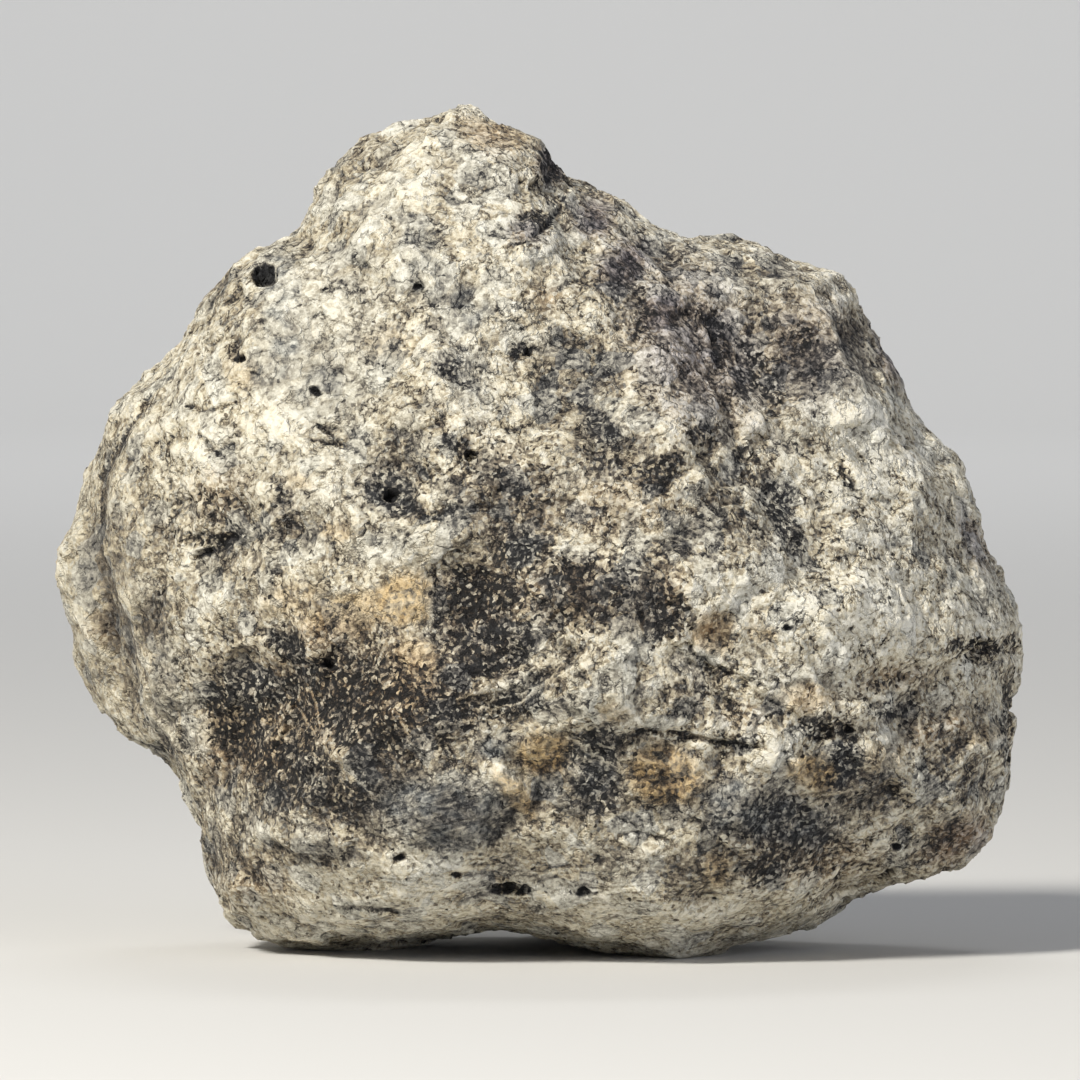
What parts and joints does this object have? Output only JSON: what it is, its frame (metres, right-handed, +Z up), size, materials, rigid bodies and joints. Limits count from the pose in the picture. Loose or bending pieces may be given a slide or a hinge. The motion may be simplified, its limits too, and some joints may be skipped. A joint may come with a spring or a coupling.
{
  "type": "eucrite meteorite",
  "caption": "Broken hand-sized piece of pale, speckled basaltic rock with a blunt peak, a ledge, hollows and pits, resting on small flat spots.",
  "frame": {"origin": "centre of the stone's box across and in depth, at the height of the flat spots it rests on", "axes": "+X to the right along the stone's width, +Y from the pictured front to the back, +Z up to the peak"},
  "size_m": [0.1, 0.0686, 0.0871],
  "materials": {
    "eucrite": "dull broken basaltic rock: cream and grey grains with dark gaps, brown stains and tan clasts"
  },
  "bodies": {
    "root": {"stone": "eucrite"}
  },
  "joints": []
}
